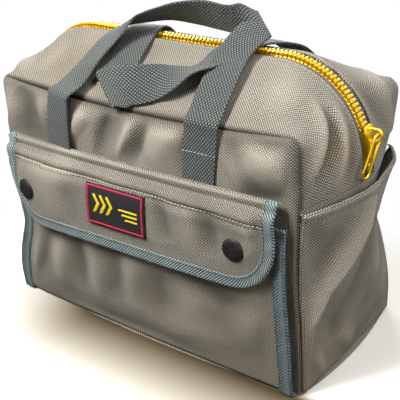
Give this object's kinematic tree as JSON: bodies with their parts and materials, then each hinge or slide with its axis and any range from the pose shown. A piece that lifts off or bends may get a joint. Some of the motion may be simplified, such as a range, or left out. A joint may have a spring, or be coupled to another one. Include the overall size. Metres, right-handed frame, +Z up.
{
  "type": "zippered tool bag",
  "caption": "Small zippered canvas tool bag with a snapped front flap, open end and rear pockets, and folding webbing handles.",
  "frame": {"origin": "middle of the underside, in the plane that the bag stands on", "axes": "+X along the bag's length, to the right as seen from the front; the front with the flap faces -Y; +Z is up"},
  "size_m": [0.3288, 0.1697, 0.2658],
  "materials": {
    "canvas": "taupe cotton duck in a plain weave",
    "webbing": "grey-green coarse woven webbing",
    "tape": "blue-grey twill binding tape",
    "zip_tape": "dark lilac-grey woven zip tape",
    "brass": "bright yellow brass",
    "snap_black": "black oxidised snap cap",
    "label": "plain black woven patch",
    "board": "plain stiffener board"
  },
  "bodies": {
    "bag": {"bottom_panel": "canvas", "bottom_board": "board", "front_panel": "canvas", "rear_panel": "canvas", "zip_gusset_front": "canvas", "zip_gusset_rear": "canvas", "end_panel_left": "canvas", "end_panel_right": "canvas", "end_pocket_left": "canvas", "end_pocket_right": "canvas", "end_pocket_hem_left": "canvas", "end_pocket_hem_right": "canvas", "zip_tape_front": "zip_tape", "zip_tape_rear": "zip_tape", "zip_teeth_front": "brass", "zip_teeth_rear": "brass", "zip_top_stop_front": "brass", "zip_top_stop_rear": "brass", "zip_bottom_stop": "brass", "front_pocket": "canvas", "rear_pocket": "canvas", "flap_heading": "canvas", "front_pocket_tape_left": "tape", "front_pocket_tape_right": "tape", "rear_pocket_tape_left": "tape", "rear_pocket_tape_right": "tape", "snap_stud_left": "brass", "snap_stud_right": "brass", "snap_post_left": "brass", "snap_post_right": "brass", "front_handle_leg_left": "webbing", "front_handle_leg_right": "webbing", "rear_handle_leg_left": "webbing", "rear_handle_leg_right": "webbing"},
    "flap": {"front_flap": "canvas", "flap_binding": "tape", "label_patch": "label", "snap_cap_left": "snap_black", "snap_cap_right": "snap_black", "snap_socket_left": "brass", "snap_socket_right": "brass"},
    "front_loop": {"front_handle": "webbing"},
    "rear_loop": {"rear_handle": "webbing"},
    "slider": {"zip_slider": "brass", "zip_slider_bail": "brass"},
    "pull": {"zip_pull": "brass"}
  },
  "joints": [
    {"name": "flap_lift", "type": "hinge", "parent": "bag", "child": "flap", "pos_m": [0, -0.083, 0.147], "axis": [-0.9999, -0.0153, 0], "range_deg": [0, 120]},
    {"name": "front_handle_swing", "type": "hinge", "parent": "bag", "child": "front_loop", "pos_m": [0, -0.0704, 0.2015], "axis": [1, 0, 0], "range_deg": [0, 120]},
    {"name": "rear_handle_swing", "type": "hinge", "parent": "bag", "child": "rear_loop", "pos_m": [0, 0.0704, 0.2015], "axis": [-1, 0, 0], "range_deg": [0, 36]},
    {"name": "zip_slide", "type": "hinge", "parent": "bag", "child": "slider", "pos_m": [0.09, 0, 0.167], "axis": [0, -1, 0], "range_deg": [0, 66]},
    {"name": "zip_pull_swing", "type": "hinge", "parent": "slider", "child": "pull", "pos_m": [0.16347, 0, 0.18682], "axis": [0, -0.9135, 0.4067], "range_deg": [0, 150]}
  ],
  "couplings": [
    {"joint": "rear_handle_swing", "follows": "front_handle_swing", "ratio": 0.3}
  ]
}
